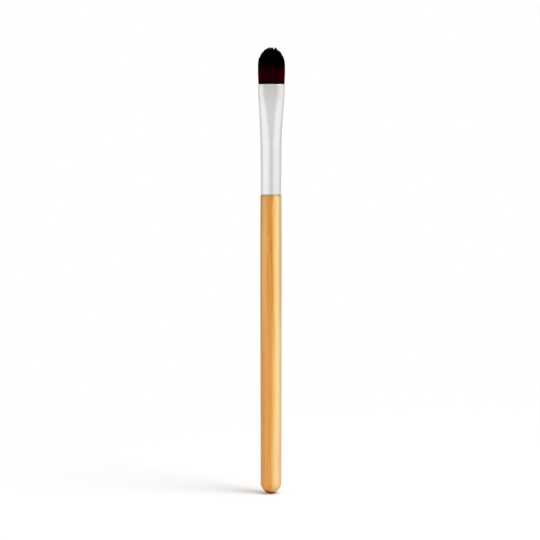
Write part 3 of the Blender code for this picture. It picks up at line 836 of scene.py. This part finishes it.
def own_lock(spots, lock_spots):
    """The number of each filament's lock: the nearest, where distance across counts for
    more, so that locks are narrow."""
    apart = (spots[:, :, None] - lock_spots[:, None, :]) ** 2
    return (apart[0] * LOCK_NARROWNESS + apart[1]).argmin(axis=1)


def tip_heights(spots, lock_spots, stray, short):
    """Heights of the filaments' tips above the mouth. They lie under a dome that falls as a
    quarter ellipse does towards the sides and the faces, and end short of it by their own
    amounts. A few dips and rises in the dome are bell curves of the tip's x."""
    side, face = 1 - np.sqrt(np.clip(1 - spots**2, 0, 1))
    fall = short + SIDE_FALL * side + FACE_FALL * face
    widest, _ = tuft_half_spans(np.float64(SPREAD_HEIGHT))
    tip = (spots[0] + (lock_spots[0] - spots[0]) * LOCK_PULL) * widest + stray[0]
    for middle, half_width, depth in TIP_DIPS:
        fall = fall + depth * np.exp(-(((tip - middle) / half_width) ** 2))
    return np.maximum(TUFT_LENGTH - fall, LEAST_FILAMENT)


def filament_middles(spots, lock_spots, stray, tip_height):
    """Points up the middles of the filaments, as an array of filament, level and x, y, z:
    the same levels near the root, and then the same shares of the way to each tip. Each
    filament keeps its share of the tuft's span. With the square of the height it is drawn
    towards the middle of its lock, and strays a little."""
    low = np.array(ROOT_LEVELS)
    upper = low[-1] + (tip_height[:, None] - low[-1]) * np.array(UPPER_SHARES)
    height = np.hstack([np.tile(low, (FILAMENT_COUNT, 1)), upper])
    rise = np.clip(height / TUFT_LENGTH, 0, 1) ** 2
    pull = LOCK_PULL * rise
    share = spots[:, :, None] * (1 - pull) + lock_spots[:, :, None] * pull
    x, y = share * np.stack(tuft_half_spans(height)) + stray[:, :, None] * rise
    return np.stack([HEAD_SHIFT + x, y, MOUTH_HEIGHT + height], axis=-1)


def filament_rings(middle, twist):
    """Rings round the middles of the filaments, from the root to below the tip, as an array
    of filament, ring, side and x, y, z. The radius shrinks as a superellipse does."""
    taper = np.concatenate([np.zeros(len(ROOT_LEVELS)), UPPER_SHARES[:-1]])
    radius = FILAMENT_RADIUS * np.sqrt(1 - taper**FILAMENT_TAPER_POWER)
    angle = twist[:, None] + math.tau * np.arange(FILAMENT_SIDES) / FILAMENT_SIDES
    way = np.stack([np.cos(angle), np.sin(angle), 0 * angle], axis=-1)
    return middle[:, :-1, None, :] + radius[None, :, None, None] * way[:, None, :, :]


def filament_piece(name, rings, tips, material):
    """One mesh of many filaments, from their rings and tips. Each is a closed prism that
    ends in a point."""
    count, levels, sides, _ = rings.shape
    index = np.arange(count * levels * sides).reshape(count, levels, sides)
    turned = np.roll(index, -1, axis=2)
    quads = np.stack([index[:, :-1], turned[:, :-1], turned[:, 1:], index[:, 1:]], axis=-1)
    tip = count * levels * sides + np.arange(count)[:, None] + np.zeros((1, sides), int)
    ends = np.stack([index[:, -1], turned[:, -1], tip], axis=-1)
    roots = index[:, 0, ::-1]
    points = np.vstack([rings.reshape(-1, 3), tips])
    faces = quads.reshape(-1, 4).tolist() + ends.reshape(-1, 3).tolist() + roots.tolist()
    return mesh_piece(name, points, faces, material)


def make_tuft(material):
    """Thousands of tapered filaments that gather in locks towards their tips."""
    chance = np.random.default_rng(TUFT_SEED)
    spots = oval_spots(FILAMENT_COUNT)
    lock_spots = oval_spots(LOCK_COUNT)
    lock = own_lock(spots, lock_spots)
    lock_spots = lock_spots[:, lock]
    short = chance.exponential(LOCK_SHORTNESS, LOCK_COUNT)[lock]
    short += chance.exponential(FILAMENT_SHORTNESS, FILAMENT_COUNT)
    stray = chance.normal(0, LOCK_LEAN, (2, LOCK_COUNT))[:, lock]
    stray += chance.normal(0, FILAMENT_SWAY, (2, FILAMENT_COUNT))
    tip_height = tip_heights(spots, lock_spots, stray, short)
    middle = filament_middles(spots, lock_spots, stray, tip_height)
    rings = filament_rings(middle, chance.uniform(0, math.tau, FILAMENT_COUNT))
    for number in range(FILAMENT_PIECES):
        pick = slice(number, None, FILAMENT_PIECES)
        name = "tuft_filaments_%d" % (number + 1)
        piece = filament_piece(name, rings[pick], middle[pick, -1], material)
        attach(piece, BODY)
        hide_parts("bristle_tuft")


# Stage, light and camera


def make_panels_group():
    """The light that comes from round the studio: dimmer from the camera's side, above all
    near the horizon, brightest from a wide panel at each side, and dim again behind. It
    goes by the azimuth in degrees and the sine of the elevation."""
    inputs = [("Azimuth", 0.0), ("Elevation Sine", 0.0)]
    tree, given, result = new_group("studio_panels", inputs, "Light")
    nodes = Nodes(tree)
    azimuth = given["Azimuth"]
    high = nodes.ramp(given["Elevation Sine"], *FRONT_HIGH_EDGE)
    left = nodes.ramp(azimuth, *LEFT_PANEL_EDGE)
    right = nodes.ramp(azimuth, *RIGHT_PANEL_EDGE)
    back = nodes.ramp(nodes.math("ABSOLUTE", azimuth), *BACK_PANEL_EDGE)
    light = nodes.mix(high, FRONT_LIGHT, FRONT_HIGH_LIGHT)
    light = nodes.mix(right, light, RIGHT_LIGHT)
    light = nodes.mix(left, light, LEFT_LIGHT)
    nodes.feed(result, nodes.mix(back, light, BACK_LIGHT))
    return tree


def azimuth_of(nodes, x, y):
    """Degrees round from the camera's side towards the right."""
    return nodes.math("DEGREES", nodes.math("ARCTAN2", x, nodes.times(y, -1.0)))


def floor_material(panels):
    """Paper that takes the brush's shadow, with painted light right round the foot: a warm
    tint of light bounced off the wood. It bounces less light than the camera sees in it.
    Farther off, rays from the camera see it white, and gloss sees in it the studio that
    stands in that direction."""
    material, nodes, shader = new_material("white_floor", Roughness=1.0, Specular_IOR_Level=0.0)
    axes = place_axes(nodes)
    x, y = axes["X"], axes["Y"]
    flat = nodes.vector(x, y)
    away = nodes.add("ShaderNodeVectorMath", {0: flat}, operation="LENGTH").outputs["Value"]
    path = nodes.add("ShaderNodeLightPath").outputs
    seen = path["Is Camera Ray"]
    gloss = nodes.math("MAXIMUM", path["Is Glossy Ray"], path["Is Transmission Ray"])
    mirror = nodes.times(nodes.ramp(away, *MIRROR_EDGE), gloss)
    white = nodes.times(nodes.ramp(away, *WHITE_EDGE), seen)
    # Painted warm bounce light round the foot
    paper = nodes.blend(nodes.ramp(away, *WARM_BOUNCE_EDGE), PAPER, WARM_BOUNCE_PAPER)
    paper = nodes.blend(seen, BOUNCE_PAPER, paper)
    paper = nodes.blend(nodes.math("MAXIMUM", mirror, white), paper, BLACK)
    nodes.feed(shader.inputs["Base Color"], paper)
    shown = nodes.mix(white, nodes.times(seen, NEAR_GLOW), 1.0)
    studio = nodes.group(panels, {"Azimuth": azimuth_of(nodes, x, y)})
    mirrored = nodes.times(nodes.times(studio, FLOOR_MIRROR), mirror)
    glow = nodes.math("ADD", shown, mirrored)
    shine = nodes.add("ShaderNodeEmission", {"Color": WHITE, "Strength": glow}).outputs[0]
    both = nodes.add("ShaderNodeAddShader", {0: shader.outputs[0], 1: shine}).outputs[0]
    output = next(n for n in material.node_tree.nodes if n.type == "OUTPUT_MATERIAL")
    nodes.feed(output.inputs["Surface"], both)
    return material


def make_floor(panels):
    """A floor that goes on to the horizon."""
    corners = FLOOR_REACH * np.array([(-1, -1, 0), (1, -1, 0), (1, 1, 0), (-1, 1, 0)])
    floor = mesh_piece("floor", corners, [(0, 1, 2, 3)], floor_material(panels))


def make_world(panels):
    """White for rays from the camera. Otherwise the studio's panels near the horizon,
    easing to a softer light overhead, and stronger for what isn't gloss."""
    world = bpy.data.worlds.new("studio")
    bpy.context.scene.world = world
    world.use_nodes = True
    nodes = Nodes(world.node_tree)
    way = nodes.add("ShaderNodeTexCoord").outputs["Generated"]
    x, y, z = nodes.add("ShaderNodeSeparateXYZ", {0: way}).outputs
    studio = nodes.group(panels, {"Azimuth": azimuth_of(nodes, x, y), "Elevation Sine": z})
    light = nodes.mix(nodes.ramp(z, *OVERHEAD_EDGE), studio, OVERHEAD_LIGHT)
    path = nodes.add("ShaderNodeLightPath").outputs
    light = nodes.times(light, nodes.span(path["Is Glossy Ray"], DIFFUSE_GAIN, 1.0))
    background = next(n for n in world.node_tree.nodes if n.type == "BACKGROUND")
    nodes.feed(background.inputs["Color"], WHITE)
    nodes.feed(background.inputs["Strength"], nodes.mix(path["Is Camera Ray"], light, 1.0))


def make_key_light():
    """One soft rectangular light that faces the brush, high on the right and a little in
    front."""
    light = bpy.data.lights.new("key_softbox", "AREA")
    light.shape = "RECTANGLE"
    light.size = KEY_WIDTH
    light.size_y = KEY_HEIGHT
    light.energy = KEY_LIGHT * math.pi * KEY_WIDTH * KEY_HEIGHT
    lamp = bpy.data.objects.new("key_softbox", light)
    bpy.context.scene.collection.objects.link(lamp)
    level = math.cos(KEY_ELEVATION)
    x, y = math.sin(KEY_AZIMUTH) * level, -math.cos(KEY_AZIMUTH) * level
    way = Vector((x, y, math.sin(KEY_ELEVATION)))
    lamp.location = Vector(KEY_AIM) + way * KEY_DISTANCE
    lamp.rotation_euler = way.to_track_quat("Z", "Y").to_euler()
    lamp.visible_camera = False


def make_camera():
    """A long lens at the height of the brush's upper third, tipped down a little."""
    data = bpy.data.cameras.new("camera")
    data.lens = CAMERA_LENS
    data.sensor_width = CAMERA_SENSOR
    data.clip_start = CAMERA_NEAREST
    data.clip_end = CAMERA_FARTHEST
    camera = bpy.data.objects.new("camera", data)
    bpy.context.scene.collection.objects.link(camera)
    camera.location = CAMERA_PLACE
    camera.rotation_euler = (math.radians(90 - CAMERA_TIP), 0, 0)
    bpy.context.scene.camera = camera


bpy.context.scene.view_settings.view_transform = "Standard"
make_camera()
panels = make_panels_group()
make_floor(panels)
make_world(panels)
make_key_light()
dress_hidden_nodes()
make_handle(bamboo_material())
make_ferrule(aluminium_material())
filament = filament_material()
make_slice(filament)
make_tuft(filament)
